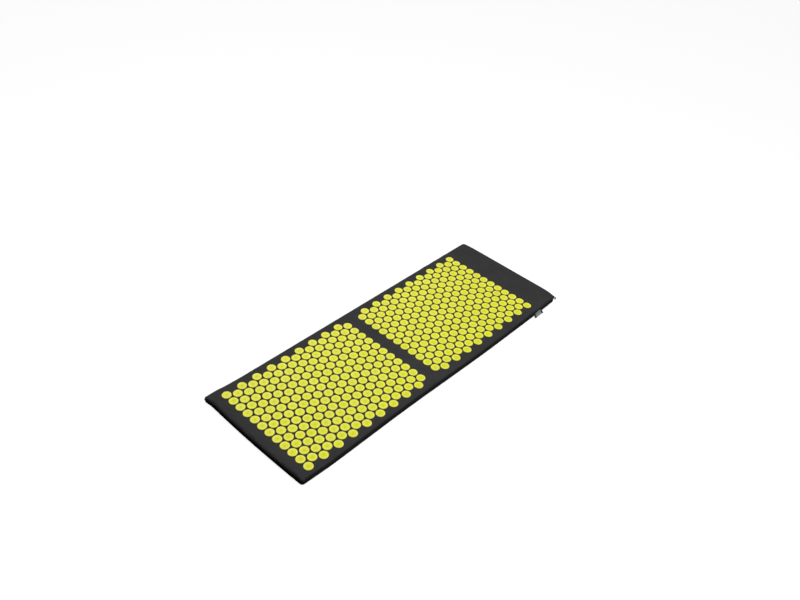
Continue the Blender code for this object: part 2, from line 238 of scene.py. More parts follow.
def build_light():
    """A key soft box overhead, weaker ones at the far left and the right, and a low world."""
    middle = (0.0, 0.0, 0.02)
    area_light("key_box", (-0.1, 0.2, 3.8), middle, 1.0, 1.0, 112)
    area_light("far_left_box", (-2.5, 0.6, 2.9), middle, 1.0, 1.0, 12)
    area_light("right_box", (4.2, 1.6, 2.6), middle, 1.2, 1.2, 60)
    world = bpy.data.worlds.new("studio")
    bpy.context.scene.world = world
    world.use_nodes = True
    tree = world.node_tree
    background = tree.nodes["Background"]
    background.inputs["Color"].default_value = (1.0, 1.0, 1.0, 1.0)
    level = tree.nodes.new("ShaderNodeMapRange")
    level.inputs["To Min"].default_value = 0.04
    level.inputs["To Max"].default_value = 1.0
    tree.links.new(seen_directly(tree), level.inputs["Value"])
    tree.links.new(level.outputs[0], background.inputs["Strength"])
    bpy.context.scene.view_settings.view_transform = "Standard"


def build_floor():
    """A pale floor that shows white where it is lit and keeps the mat's shadow."""
    half = 6.0
    mesh = bpy.data.meshes.new("floor")
    mesh.from_pydata([(-half, -half, 0), (half, -half, 0), (half, half, 0), (-half, half, 0)],
                     [], [(0, 1, 2, 3)])
    floor = bpy.data.objects.new("floor", mesh)
    bpy.context.scene.collection.objects.link(floor)
    material = bpy.data.materials.new("studio floor")
    material.use_nodes = True
    tree = material.node_tree
    tree.nodes.clear()
    output = tree.nodes.new("ShaderNodeOutputMaterial")
    matt = tree.nodes.new("ShaderNodeBsdfDiffuse")
    matt.inputs["Color"].default_value = (0.10, 0.10, 0.10, 1.0)
    glow = tree.nodes.new("ShaderNodeEmission")
    level = tree.nodes.new("ShaderNodeMath")
    level.operation = "MULTIPLY"
    level.inputs[1].default_value = 0.94
    tree.links.new(seen_directly(tree), level.inputs[0])
    tree.links.new(level.outputs[0], glow.inputs["Strength"])
    both = tree.nodes.new("ShaderNodeAddShader")
    tree.links.new(matt.outputs[0], both.inputs[0])
    tree.links.new(glow.outputs[0], both.inputs[1])
    tree.links.new(both.outputs[0], output.inputs["Surface"])
    mesh.materials.append(material)


def new_group(name, inputs, outputs):
    """An empty shader node group with float or vector inputs and float outputs."""
    tree = bpy.data.node_groups.new(name, "ShaderNodeTree")
    for label, kind, value in inputs:
        socket = tree.interface.new_socket(label, in_out="INPUT", socket_type=kind)
        if value is not None:
            socket.default_value = value
    for label, kind in outputs:
        tree.interface.new_socket(label, in_out="OUTPUT", socket_type=kind)
    return tree, tree.nodes.new("NodeGroupInput"), tree.nodes.new("NodeGroupOutput")


def math_node(tree, operation, first, second=None):
    """A Math node fed by sockets or plain numbers; returns its output."""
    node = tree.nodes.new("ShaderNodeMath")
    node.operation = operation
    for slot, value in enumerate((first, second)):
        if value is None:
            continue
        if isinstance(value, (int, float)):
            node.inputs[slot].default_value = value
        else:
            tree.links.new(value, node.inputs[slot])
    return node.outputs[0]


def plain_weave_group():
    """Over and under yarns of a plain weave, from a cloth map in metres and a yarn pitch."""
    tree, given, out = new_group(
        "plain_weave",
        [("Cloth Map", "NodeSocketVector", None), ("Yarn Pitch", "NodeSocketFloat", 0.0006)],
        [("Height", "NodeSocketFloat"), ("Warp", "NodeSocketFloat")])
    split = tree.nodes.new("ShaderNodeSeparateXYZ")
    tree.links.new(given.outputs["Cloth Map"], split.inputs[0])
    across = math_node(tree, "DIVIDE", split.outputs[0], given.outputs["Yarn Pitch"])
    along = math_node(tree, "DIVIDE", split.outputs[1], given.outputs["Yarn Pitch"])

    def yarn(own, other):
        """Height of a yarn that is rounded across itself and rises and dips along itself."""
        swell = math_node(tree, "ABSOLUTE", math_node(
            tree, "SINE", math_node(tree, "MULTIPLY", own, math.pi)))
        phase = math_node(tree, "ADD", math_node(tree, "FLOOR", own), other)
        wave = math_node(tree, "COSINE", math_node(
            tree, "MULTIPLY", math_node(tree, "SUBTRACT", phase, 0.5), math.pi))
        return swell, wave

    warp_swell, warp_wave = yarn(across, along)
    weft_swell, weft_wave = yarn(along, across)
    warp = math_node(tree, "MULTIPLY", warp_swell, math_node(
        tree, "ADD", math_node(tree, "MULTIPLY", warp_wave, 0.45), 0.55))
    weft = math_node(tree, "MULTIPLY", weft_swell, math_node(
        tree, "ADD", math_node(tree, "MULTIPLY", weft_wave, -0.45), 0.55))
    tree.links.new(math_node(tree, "MAXIMUM", warp, weft), out.inputs["Height"])
    tree.links.new(math_node(tree, "GREATER_THAN", warp, weft), out.inputs["Warp"])
    return tree


def mottle_group():
    """Slow patches and fine specks over a surface, each from 0 to 1."""
    tree, given, out = new_group(
        "mottle",
        [("Place", "NodeSocketVector", None), ("Patch Scale", "NodeSocketFloat", 20.0),
         ("Speck Scale", "NodeSocketFloat", 900.0)],
        [("Patches", "NodeSocketFloat"), ("Specks", "NodeSocketFloat")])
    for label, scale, detail in (("Patches", "Patch Scale", 3.0), ("Specks", "Speck Scale", 2.0)):
        noise = tree.nodes.new("ShaderNodeTexNoise")
        noise.inputs["Detail"].default_value = detail
        tree.links.new(given.outputs["Place"], noise.inputs["Vector"])
        tree.links.new(given.outputs[scale], noise.inputs["Scale"])
        tree.links.new(noise.outputs[0], out.inputs[label])
    return tree


def edge_wear_group():
    """Rubbed edges: 1 where a rounded normal leaves the true one, broken up by noise."""
    tree, given, out = new_group(
        "edge_wear",
        [("Place", "NodeSocketVector", None), ("Width", "NodeSocketFloat", 0.0003),
         ("Amount", "NodeSocketFloat", 0.5)],
        [("Mask", "NodeSocketFloat")])
    rounded = tree.nodes.new("ShaderNodeBevel")
    rounded.samples = 6
    tree.links.new(given.outputs["Width"], rounded.inputs["Radius"])
    true = tree.nodes.new("ShaderNodeNewGeometry")
    dot = tree.nodes.new("ShaderNodeVectorMath")
    dot.operation = "DOT_PRODUCT"
    tree.links.new(rounded.outputs[0], dot.inputs[0])
    tree.links.new(true.outputs["Normal"], dot.inputs[1])
    edge = math_node(tree, "SUBTRACT", 1.0, dot.outputs["Value"])
    noise = tree.nodes.new("ShaderNodeTexNoise")
    noise.inputs["Scale"].default_value = 700.0
    noise.inputs["Detail"].default_value = 4.0
    tree.links.new(given.outputs["Place"], noise.inputs["Vector"])
    worn = math_node(tree, "MULTIPLY", math_node(tree, "MULTIPLY", edge, 6.0), noise.outputs[0])
    node = tree.nodes.new("ShaderNodeMath")
    node.operation = "MULTIPLY"
    node.use_clamp = True
    tree.links.new(worn, node.inputs[0])
    tree.links.new(given.outputs["Amount"], node.inputs[1])
    tree.links.new(node.outputs[0], out.inputs["Mask"])
    return tree


def place_group(tree, group, **values):
    """A group node in a material, with plain values or sockets for its inputs."""
    node = tree.nodes.new("ShaderNodeGroup")
    node.node_tree = group
    for label, value in values.items():
        socket = node.inputs[label.replace("_", " ")]
        if isinstance(value, bpy.types.NodeSocket):
            tree.links.new(value, socket)
        else:
            socket.default_value = value
    return node


def start_material(name, roughness=0.5):
    """A Principled material; returns it with its tree, its shader and object coordinates."""
    material = bpy.data.materials.new(name)
    material.use_nodes = True
    tree = material.node_tree
    shader = tree.nodes["Principled BSDF"]
    shader.inputs["Roughness"].default_value = roughness
    place = tree.nodes.new("ShaderNodeTexCoord")
    return material, tree, shader, place.outputs["Object"]


def mix_colours(tree, share, first, second):
    """Mix two colours, given as sockets or plain values, by a share socket."""
    node = tree.nodes.new("ShaderNodeMix")
    node.data_type = "RGBA"
    tree.links.new(share, node.inputs["Factor"])
    for label, value in (("A", first), ("B", second)):
        socket = [s for s in node.inputs if s.name == label and s.type == "RGBA"][0]
        if isinstance(value, bpy.types.NodeSocket):
            tree.links.new(value, socket)
        else:
            socket.default_value = (*value, 1.0)
    return [s for s in node.outputs if s.type == "RGBA"][0]


def spread(tree, value, low, high):
    """Map a socket that runs from 0 to 1 onto a range."""
    node = tree.nodes.new("ShaderNodeMapRange")
    tree.links.new(value, node.inputs["Value"])
    node.inputs["To Min"].default_value = low
    node.inputs["To Max"].default_value = high
    return node.outputs[0]


def add_bump(tree, shader, height, strength, distance):
    """Feed a height into the shader's normal."""
    bump = tree.nodes.new("ShaderNodeBump")
    bump.inputs["Strength"].default_value = strength
    bump.inputs["Distance"].default_value = distance
    tree.links.new(height, bump.inputs["Height"])
    tree.links.new(bump.outputs[0], shader.inputs["Normal"])


def cover_cotton(weave, mottle):
    """Matt charcoal cotton: plain weave on the cloth's own map, with painted shade between the
    yarns, slow mottling and lint.
    """
    material, tree, shader, place = start_material("charcoal cotton")
    cloth_map = tree.nodes.new("ShaderNodeUVMap")
    cloth_map.uv_map = "cloth"
    yarns = place_group(tree, weave, Cloth_Map=cloth_map.outputs[0], Yarn_Pitch=yarn_pitch)
    cloud = place_group(tree, mottle, Place=place, Patch_Scale=14.0, Speck_Scale=1500.0)
    worn = mix_colours(tree, cloud.outputs["Patches"], (0.048, 0.048, 0.049),
                       (0.070, 0.070, 0.071))
    # Painted shade: the cloth is darker where the yarns dip, between them
    weave_with_gap_shade = mix_colours(tree, yarns.outputs["Height"], (0.018, 0.018, 0.020), worn)
    lint = math_node(tree, "GREATER_THAN", cloud.outputs["Specks"], 0.70)
    tree.links.new(mix_colours(tree, math_node(tree, "MULTIPLY", lint, 0.35), weave_with_gap_shade,
                               (0.11, 0.11, 0.115)), shader.inputs["Base Color"])
    tree.links.new(spread(tree, cloud.outputs["Patches"], 0.80, 0.96),
                   shader.inputs["Roughness"])
    shader.inputs["Specular IOR Level"].default_value = 0.0
    add_bump(tree, shader, yarns.outputs["Height"], 0.5, 0.00018)
    return material


def disc_plastic(mottle):
    """Glossy lime yellow plastic: painted highlight on the rim, painted shade in the middle and at
    the edge, a random shade and painted glare per disc.
    """
    material, tree, shader, place = start_material("lime yellow plastic")
    tone = tree.nodes.new("ShaderNodeAttribute")
    tone.attribute_name = "disc_tone_and_glare"
    spot = tree.nodes.new("ShaderNodeAttribute")
    spot.attribute_name = "disc_place"
    from_middle = tree.nodes.new("ShaderNodeVectorMath")
    from_middle.operation = "LENGTH"
    tree.links.new(spot.outputs["Vector"], from_middle.inputs[0])
    cloud = place_group(tree, mottle, Place=place, Patch_Scale=60.0, Speck_Scale=1200.0)
    # Body colour by tone: a random shade for each disc plus painted glare, paler towards the left
    # side and the foot end
    body = mix_colours(tree, tone.outputs["Fac"], (0.79, 0.80, 0.036), (0.85, 0.84, 0.125))

    def ring(inner, outer):
        """A mask that rises from 0 to 1 between two shares of the disc's radius."""
        rise = tree.nodes.new("ShaderNodeMapRange")
        rise.interpolation_type = "SMOOTHSTEP"
        rise.inputs["From Min"].default_value = inner
        rise.inputs["From Max"].default_value = outer
        tree.links.new(from_middle.outputs["Value"], rise.inputs["Value"])
        return rise.outputs[0]

    # Painted shade: the middle of each disc, among the spikes, is darker
    middle = mix_colours(tree, ring(0.05, 0.50), (0.73, 0.73, 0.022), body)
    # Painted highlight: a paler ring on the rim
    rim_highlight = mix_colours(tree, ring(0.60, 0.84), middle, (0.92, 0.91, 0.13))
    # Painted shade: a darker olive band at the disc's outer edge
    tree.links.new(mix_colours(tree, ring(0.90, 1.0), rim_highlight, (0.52, 0.51, 0.03)),
                   shader.inputs["Base Color"])
    tree.links.new(spread(tree, cloud.outputs["Patches"], 0.28, 0.42),
                   shader.inputs["Roughness"])
    shader.inputs["Specular IOR Level"].default_value = 0.12
    add_bump(tree, shader, cloud.outputs["Specks"], 0.12, 0.0001)
    return material


def foam_core(mottle):
    """Grey open-cell foam."""
    material, tree, shader, place = start_material("grey foam", 0.95)
    cells = tree.nodes.new("ShaderNodeTexVoronoi")
    cells.inputs["Scale"].default_value = 900.0
    tree.links.new(place, cells.inputs["Vector"])
    cloud = place_group(tree, mottle, Place=place, Patch_Scale=9.0, Speck_Scale=700.0)
    tree.links.new(mix_colours(tree, cloud.outputs["Patches"], (0.34, 0.34, 0.33),
                               (0.46, 0.46, 0.44)), shader.inputs["Base Color"])
    add_bump(tree, shader, cells.outputs["Distance"], 0.8, 0.0005)
    return material


def zip_tape_cloth(weave):
    """Black polyester tape with a fine close weave, and painted shade between its yarns."""
    material, tree, shader, _ = start_material("black zip tape", 0.80)
    cloth_map = tree.nodes.new("ShaderNodeUVMap")
    cloth_map.uv_map = "cloth"
    yarns = place_group(tree, weave, Cloth_Map=cloth_map.outputs[0], Yarn_Pitch=0.00042)
    # Painted shade: darker where the yarns dip, between them
    tree.links.new(mix_colours(tree, yarns.outputs["Height"], (0.006, 0.006, 0.007),
                               (0.022, 0.022, 0.024)), shader.inputs["Base Color"])
    add_bump(tree, shader, yarns.outputs["Height"], 0.5, 0.00012)
    return material


def zip_teeth_plastic(mottle, wear):
    """Moulded black plastic, rubbed a little paler on its edges by the slider."""
    material, tree, shader, place = start_material("black moulded plastic")
    rubbed = place_group(tree, wear, Place=place, Width=0.00025, Amount=0.6)
    cloud = place_group(tree, mottle, Place=place, Patch_Scale=120.0, Speck_Scale=2500.0)
    tree.links.new(mix_colours(tree, rubbed.outputs["Mask"], (0.016, 0.016, 0.018),
                               (0.060, 0.060, 0.064)), shader.inputs["Base Color"])
    tree.links.new(spread(tree, cloud.outputs["Patches"], 0.34, 0.50),
                   shader.inputs["Roughness"])
    add_bump(tree, shader, cloud.outputs["Specks"], 0.2, 0.00005)
    return material


def lacquered_metal(mottle, wear):
    """Black lacquer on die-cast metal, worn to bare metal along the sharpest edges."""
    material, tree, shader, place = start_material("black lacquered metal")
    rubbed = place_group(tree, wear, Place=place, Width=0.0002, Amount=0.5)
    cloud = place_group(tree, mottle, Place=place, Patch_Scale=150.0, Speck_Scale=3000.0)
    tree.links.new(mix_colours(tree, rubbed.outputs["Mask"], (0.018, 0.018, 0.020),
                               (0.42, 0.41, 0.39)), shader.inputs["Base Color"])
    tree.links.new(rubbed.outputs["Mask"], shader.inputs["Metallic"])
    tree.links.new(spread(tree, cloud.outputs["Patches"], 0.26, 0.44),
                   shader.inputs["Roughness"])
    shader.inputs["Specular IOR Level"].default_value = 0.3
    add_bump(tree, shader, cloud.outputs["Specks"], 0.15, 0.00005)
    return material


def label_satin(weave):
    """Grey green satin ribbon, with a black band at each end, and painted shade between its yarns.
    """
    material, tree, shader, _ = start_material("grey green ribbon", 0.62)
    cloth_map = tree.nodes.new("ShaderNodeUVMap")
    cloth_map.uv_map = "cloth"
    yarns = place_group(tree, weave, Cloth_Map=cloth_map.outputs[0], Yarn_Pitch=0.00030)
    split = tree.nodes.new("ShaderNodeSeparateXYZ")
    tree.links.new(cloth_map.outputs[0], split.inputs[0])
    from_middle = math_node(tree, "ABSOLUTE", math_node(
        tree, "SUBTRACT", split.outputs[0], label_length / 2))
    band = math_node(tree, "GREATER_THAN", from_middle, label_length / 2 - label_end_band)
    # Painted shade: field and end bands are darker where the yarns dip, between them
    field = mix_colours(tree, yarns.outputs["Height"], (0.17, 0.20, 0.185), (0.30, 0.34, 0.32))
    dark = mix_colours(tree, yarns.outputs["Height"], (0.008, 0.008, 0.009),
                       (0.026, 0.026, 0.028))
    tree.links.new(mix_colours(tree, band, field, dark), shader.inputs["Base Color"])
    shader.inputs["Specular IOR Level"].default_value = 0.2
    add_bump(tree, shader, yarns.outputs["Height"], 0.4, 0.00008)
    return material


def sewing_thread():
    """Charcoal polyester thread with its twist, and painted shade in the twist's grooves."""
    material, tree, shader, place = start_material("charcoal thread", 0.6)
    twist = tree.nodes.new("ShaderNodeTexWave")
    twist.wave_type = "BANDS"
    twist.bands_direction = "DIAGONAL"
    twist.inputs["Scale"].default_value = 900.0
    tree.links.new(place, twist.inputs["Vector"])
    # Painted shade: darker in the grooves of the twist
    tree.links.new(mix_colours(tree, twist.outputs["Fac"], (0.030, 0.030, 0.032),
                               (0.085, 0.085, 0.090)), shader.inputs["Base Color"])
    add_bump(tree, shader, twist.outputs["Fac"], 0.5, 0.0001)
    return material


def mesh_object(name, points, faces, material):
    """An object in the scene from arrays of points and faces, shaded smooth."""
    mesh = bpy.data.meshes.new(name)
    mesh.from_pydata([tuple(p) for p in points], [], [tuple(f) for f in faces])
    mesh.shade_smooth()
    mesh.materials.append(material)
    item = bpy.data.objects.new(name, mesh)
    bpy.context.scene.collection.objects.link(item)
    return item


def set_cloth_map(item, cloth_points):
    """Store each point's place on the flat cloth, in metres, as the object's cloth map."""
    layer = item.data.uv_layers.new(name="cloth")
    corner = np.empty(len(item.data.loops), dtype=np.int64)
    item.data.loops.foreach_get("vertex_index", corner)
    layer.data.foreach_set("uv", np.asarray(cloth_points, float)[corner].ravel())


def side_lean(x, y):
    """How far the long sides stray outwards: the sewn cover is a little wider at the head."""
    share = np.clip((y - foot_y) / (head_y - foot_y), 0.0, 1.0)
    left = left_lean_at_foot + (left_lean_at_head - left_lean_at_foot) * share
    turn = np.clip((share - right_lean_from) / (right_lean_to - right_lean_from), 0.0, 1.0)
    turn = turn * turn * (3 - 2 * turn)
    right = right_lean_at_foot + (right_lean_at_head - right_lean_at_foot) * turn
    return np.where(x > 0, right, -left)


class SoftSlab:
    """A padded slab's surface, in lengths of cloth from its seam over its soft edge."""

    def __init__(self, half_width, low_y, high_y, low_z, high_z, inset):
        self.half_width, self.low_y, self.high_y = half_width, low_y, high_y
        self.middle_z, self.rise = (low_z + high_z) / 2, (high_z - low_z) / 2
        self.edge = edge = edge_radius - inset
        self.inset_by = inset
        wall = self.rise - edge
        pull_share, swell_share = seam_bulge_shares
        rows = [(seam_pull, 0.0, 0.0, 0.0),
                (seam_pull * pull_share, seam_swell * swell_share, 0.0, 0.0),
                (0.0, seam_swell, 0.0, 0.0), (0.0, zip_window_height, 0.0, 0.0),
                (0.0, wall, 0.0, -1.0)]
        for step in range(1, edge_steps + 1):
            angle = math.pi / 2 * step / edge_steps
            cos, sin = math.cos(angle), math.sin(angle)
            rows.append((edge * (1 - cos), wall + edge * sin, 1 - cos, sin - 1))
        rows = np.array(rows)
        self.insets, self.heights, self.inset_change, self.height_change = rows.T
        steps = np.hypot(np.diff(self.insets), np.diff(self.heights))
        self.lengths = np.concatenate([[0.0], np.cumsum(steps)])
        self.over_edge = self.lengths[-1]
        self.window_length = self.lengths[3]

    def inset(self, length, softer=0.0):
        """How far a row lies inside the slab's outline, where the soft edge is wider by a bit."""
        past = length - self.over_edge
        plain = np.where(past > 0, self.edge + past, np.interp(length, self.lengths, self.insets))
        change = np.where(past > 0, np.clip(1 - past / edge_change_reach, 0.0, 1.0),
                          np.interp(length, self.lengths, self.inset_change))
        return plain + softer * change

    def height(self, length, softer=0.0):
        """How far a row lies above or below the seam."""
        return (np.interp(length, self.lengths, self.heights)
                + softer * np.interp(length, self.lengths, self.height_change))

    def corner_of(self, length, seam_corner, flat_corner):
        """A ring's corner radius: from the seam's to the flat faces', and none further in."""
        rise = (np.minimum(length, self.over_edge) / self.over_edge) ** corner_growth_power
        outer = np.maximum(seam_corner + (flat_corner - seam_corner) * rise - self.inset_by, 0.0)
        inner = (self.inset(length) - self.edge) / (corner_reach - self.edge)
        return outer * (1 - np.clip(inner, 0.0, 1.0))

    def from_side(self, distance):
        """The cloth length from the seam to a flat place at a distance from the outline."""
        return self.over_edge + distance - self.edge

    def lines(self, span, cell, marks=(), fine=None):
        """Grid lines across one direction of a panel, closer over the edges and at a fine zone."""
        end = span - self.over_edge
        stops = [self.over_edge, end, *marks]
        if fine:
            stops += [fine[0], fine[1]]
        stops = sorted(stops)
        places = list(self.lengths)
        for first, last in zip(stops, stops[1:]):
            step = fine[2] if fine and fine[0] <= (first + last) / 2 <= fine[1] else cell
            count = max(1, round((last - first) / step))
            places += list(np.linspace(first, last, count + 1)[1:])
        return np.array(places + list(span - self.lengths[::-1][1:]))

    def panel(self, lines_x, lines_y, side):
        """Points of the top (side 1) or underside (side -1) panel, one for each grid crossing."""
        across, along = np.meshgrid(lines_x, lines_y, indexing="ij")
        from_x = np.minimum(across, lines_x[-1] - across)
        from_y = np.minimum(along, lines_y[-1] - along)
        ring = np.minimum(from_x, from_y)
        other = np.maximum(from_x, from_y)
        at_foot, at_left = along < lines_y[-1] / 2, across < lines_x[-1] / 2
        reach = self.from_side(corner_reach)
        in_corner = other < reach
        x_leads = from_x <= from_y
        if side > 0:
            end_edge = np.where(at_foot, foot_edge_radius, edge_radius)
            own_share = 0.5 + 0.5 * np.clip((other - ring) / reach, 0.0, 1.0)
            side_share = np.where(x_leads, own_share, 1 - own_share)
            softer = end_edge + (side_edge_radius - end_edge) * side_share - edge_radius
        else:
            softer = np.full(ring.shape, underside_edge_radius - edge_radius)
        inset_x, inset_y = self.inset(from_x, softer), self.inset(from_y, softer)
        inset = self.inset(ring, softer)
        corner = np.where(at_foot[..., None],
                          np.where(at_left[..., None], foot_left_corner, foot_right_corner),
                          np.where(at_left[..., None], head_left_corner, head_right_corner))
        seam_corner, flat_corner, ear_x, ear_y, side_reach = np.moveaxis(corner, -1, 0)
        radius = self.corner_of(ring, seam_corner, flat_corner)
        way = np.maximum(math.pi / 4 * radius + corner_reach - inset - radius, 0.0)
        passed = way * (other - ring) / np.maximum(reach - ring, 1e-9)
        turn = np.clip(math.pi / 4 - passed / np.maximum(radius, 1e-9), 0.0, math.pi / 4)
        straight = np.maximum(passed - math.pi / 4 * radius, 0.0)
        own = inset + radius * (1 - np.cos(turn))
        far = inset + radius * (1 - np.sin(turn)) + straight
        inset_x = np.where(in_corner, np.where(x_leads, own, far), inset_x)
        inset_y = np.where(in_corner, np.where(x_leads, far, own), inset_y)
        near_seam = np.clip(1 - self.height(ring) / seam_swell, 0.0, 1.0)
        ear_x *= np.exp(-(inset_x / corner_ear_reach) ** 2 - (inset_y / side_reach) ** 2)
        ear_y *= corner_ear_top_share + (1 - corner_ear_top_share) * near_seam
        ear_y *= np.exp(-((inset_x + inset_y) / corner_ear_reach) ** 2)
        inset_x, inset_y = inset_x - ear_x, inset_y - ear_y
        x = np.where(at_left, inset_x - self.half_width, self.half_width - inset_x)
        y = np.where(at_foot, self.low_y + inset_y, self.high_y - inset_y)
        x += side_lean(x, y) * np.clip(1 - inset_x / lean_reach, 0.0, 1.0)
        share = x / self.half_width
        skew = foot_bow_skew * np.sin(foot_bow_skew_turn * share)
        bow = foot_bow_middle - foot_bow_drop * share ** 2 - skew
        y -= bow * np.clip(1 - (y - self.low_y) / lean_reach, 0.0, 1.0)
        away = np.hypot(inset_x, inset_y) / corner_pinch_reach
        pinch = np.where(at_foot, foot_corner_pinch, head_corner_pinch)
        rise = self.height(ring, softer) * (1 - pinch * np.exp(-away * away))
        return np.stack([x, y, self.middle_z + side * rise], axis=-1).reshape(-1, 3)


def grid_faces(count_x, count_y, side, keep=None):
    """Faces between the crossings of a grid, turned outwards on the top or the underside."""
    faces = []
    for i in range(count_x - 1):
        for j in range(count_y - 1):
            if keep is not None and not keep(i, j):
                continue
            a = i * count_y + j
            face = (a, a + count_y, a + count_y + 1, a + 1)
            faces.append(face if side > 0 else face[::-1])
    return faces


def border(count_x, count_y):
    """Numbers of the crossings round the outside of a grid."""
    number = np.arange(count_x * count_y).reshape(count_x, count_y)
    edge = np.zeros((count_x, count_y), bool)
    edge[0, :] = edge[-1, :] = edge[:, 0] = edge[:, -1] = True
    return number[edge]


def disc_centres(end):
    """Centres of one half's discs. Rows of 12 and 11 take turns, widest at the mat's ends."""
    centres = []
    row_spacing = disc_pitch * math.sqrt(3) / 2
    for row in range(rows_in_field):
        narrow = row % 2
        start_x = left_margin - side_x + narrow * disc_pitch / 2
        step = row * row_spacing
        y = head_y - head_margin - step if end > 0 else foot_y + foot_margin + step
        for place in range(discs_in_wide_row - narrow):
            centres.append((start_x + place * disc_pitch, y))
    return np.array(centres)


def distance_to_discs(points):
    """How far each point lies outside the nearest disc, seen from above."""
    centres = np.concatenate([disc_centres(-1), disc_centres(1)])
    nearest = np.full(len(points), 10.0)
    for x, y in centres:
        np.minimum(nearest, np.hypot(points[:, 0] - x, points[:, 1] - y), out=nearest)
    return np.maximum(nearest - disc_radius, 0.0)


def surface_normals(points, faces):
    """The outward normal at each point of a closed surface of quads."""
    crossed = np.cross(points[faces[:, 2]] - points[faces[:, 0]],
                       points[faces[:, 3]] - points[faces[:, 1]])
    normals = np.zeros_like(points)
    for corner in range(4):
        np.add.at(normals, faces[:, corner], crossed)
    return normals / np.maximum(np.linalg.norm(normals, axis=1), 1e-12)[:, None]


def simulate_cover(points, faces, hold):
    """Let the cloth swell and wrinkle a little over the foam; returns its points."""
    item = mesh_object("cover_in_the_making", points, faces, bpy.data.materials[0])
    group = item.vertex_groups.new(name="held")
    for share in np.unique(hold):
        if share > 0:
            group.add([int(i) for i in np.flatnonzero(hold == share)], float(share), "REPLACE")
    cloth = item.modifiers.new("cloth", "CLOTH")
    cloth.settings.quality = 5
    cloth.settings.mass = 0.3
    cloth.settings.tension_stiffness = 12.0
    cloth.settings.compression_stiffness = 12.0
    cloth.settings.shear_stiffness = 4.0
    cloth.settings.bending_stiffness = 0.3
    cloth.settings.use_pressure = True
    cloth.settings.uniform_pressure_force = 4.0
    cloth.settings.shrink_min = -0.012
    cloth.settings.vertex_group_mass = "held"
    cloth.settings.effector_weights.gravity = 0.0
    cloth.collision_settings.use_collision = False
    cloth.point_cache.frame_start = 1
    cloth.point_cache.frame_end = simulated_steps
    scene = bpy.context.scene
    for step in range(1, simulated_steps + 1):
        scene.frame_set(step)
    made = item.evaluated_get(bpy.context.evaluated_depsgraph_get())
    result = np.empty(len(points) * 3, np.float64)
    made.data.vertices.foreach_get("co", result)
    scene.frame_set(1)
    mesh = item.data
    bpy.data.objects.remove(item)
    bpy.data.meshes.remove(mesh)
    return result.reshape(-1, 3)


def build_cover(cotton):
    """Top and underside cloth of the whole mat, sewn round three sides, open for the zip."""
    slab = SoftSlab(side_x, foot_y, head_y, 0.0, cloth_top_z, 0.0)
    span_x = 2 * side_x - 2 * edge_radius + 2 * slab.over_edge
    span_y = head_y - foot_y - 2 * edge_radius + 2 * slab.over_edge
    zip_line = slab.from_side(zip_end_margin)
    fold_line = slab.from_side(fold_y - foot_y)
    lines_x = slab.lines(span_x, cloth_cell, (zip_line, span_x - zip_line))
    lines_y = slab.lines(span_y, cloth_cell,
                         fine=(fold_line - fold_fine_reach, fold_line + fold_fine_reach,
                               fold_cell))
    count_x, count_y = len(lines_x), len(lines_y)
    count = count_x * count_y
    top = slab.panel(lines_x, lines_y, 1)
    under = slab.panel(lines_x, lines_y, -1)
    rim = border(count_x, count_y)
    under_number = np.arange(count) + count
    under_number[rim] = rim
    points = np.concatenate([top, under])
    under_faces = [tuple(int(under_number[n]) for n in face)
                   for face in grid_faces(count_x, count_y, -1)]
    rng = np.random.default_rng(7)
    clear = distance_to_discs(points)
    on_top = points[:, 2] > seam_z
    flat = np.abs(points[:, 2] - seam_z) > slab.rise * flat_face_share
    hold = np.where(on_top & flat & (clear < held_past_disc), 1.0, 0.0)
    hold = np.where(~on_top & flat, 1.0, hold)
    in_zip = (points[:, 1] > head_y - edge_radius) & (
        np.abs(points[:, 0]) < zip_half_length + held_past_zip)
    hold = np.where(in_zip, 1.0, hold)
    hold[rim] = 1.0
    start = points + rng.normal(0.0, start_ripple, points.shape) * (hold < 1)[:, None]
    used = np.setdiff1d(np.arange(2 * count), rim + count)
    number = np.full(2 * count, -1)
    number[used] = np.arange(len(used))
    all_faces = grid_faces(count_x, count_y, 1) + under_faces
    swollen = simulate_cover(start[used], number[np.array(all_faces)], hold[used])
    move = swollen - points[used]
    cap = np.interp(clear[used], swell_distances, swell_limits)
    size = np.linalg.norm(move, axis=1)
    move *= (np.tanh(size / cap) * cap / np.maximum(size, 1e-9))[:, None]
    outward = surface_normals(points, np.array(all_faces))[used]
    depth = np.minimum((move * outward).sum(axis=1) + inward_limit, 0.0)
    points[used] += move - outward * depth[:, None]
    points[:, 2] = np.maximum(points[:, 2], 0.0)
    cloth_points = np.stack(np.meshgrid(lines_x, lines_y, indexing="ij"), -1).reshape(-1, 2)
    window_row = lines_y[-1] - slab.window_length

    def beside_zip(i, j):
        """Whether a face is cloth, and not the window that the zip closes."""
        middle_x = (lines_x[i] + lines_x[i + 1]) / 2
        middle_y = (lines_y[j] + lines_y[j + 1]) / 2
        return not (middle_y > window_row and zip_line < middle_x < span_x - zip_line)

    for name, side, rows in (("cover_top_cloth", 1, points[:count]),
                             ("cover_underside_cloth", -1, points[under_number])):
        faces = np.array(grid_faces(count_x, count_y, side, beside_zip))
        used = np.unique(faces)
        number = np.full(count, -1)
        number[used] = np.arange(len(used))
        panel = mesh_object(name, rows[used], number[faces], cotton)
        set_cloth_map(panel, cloth_points[used])
        smooth = panel.modifiers.new("smooth", "SUBSURF")
        smooth.levels = smooth.render_levels = 1
        smooth.boundary_smooth = "PRESERVE_CORNERS"
        skin = panel.modifiers.new("skin", "SOLIDIFY")
        skin.thickness = cloth_thickness * skin_share
        skin.offset = -1
        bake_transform(panel)
    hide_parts("foot_top_cloth", "head_top_cloth")
    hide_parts("foot_underside_cloth", "head_underside_cloth")


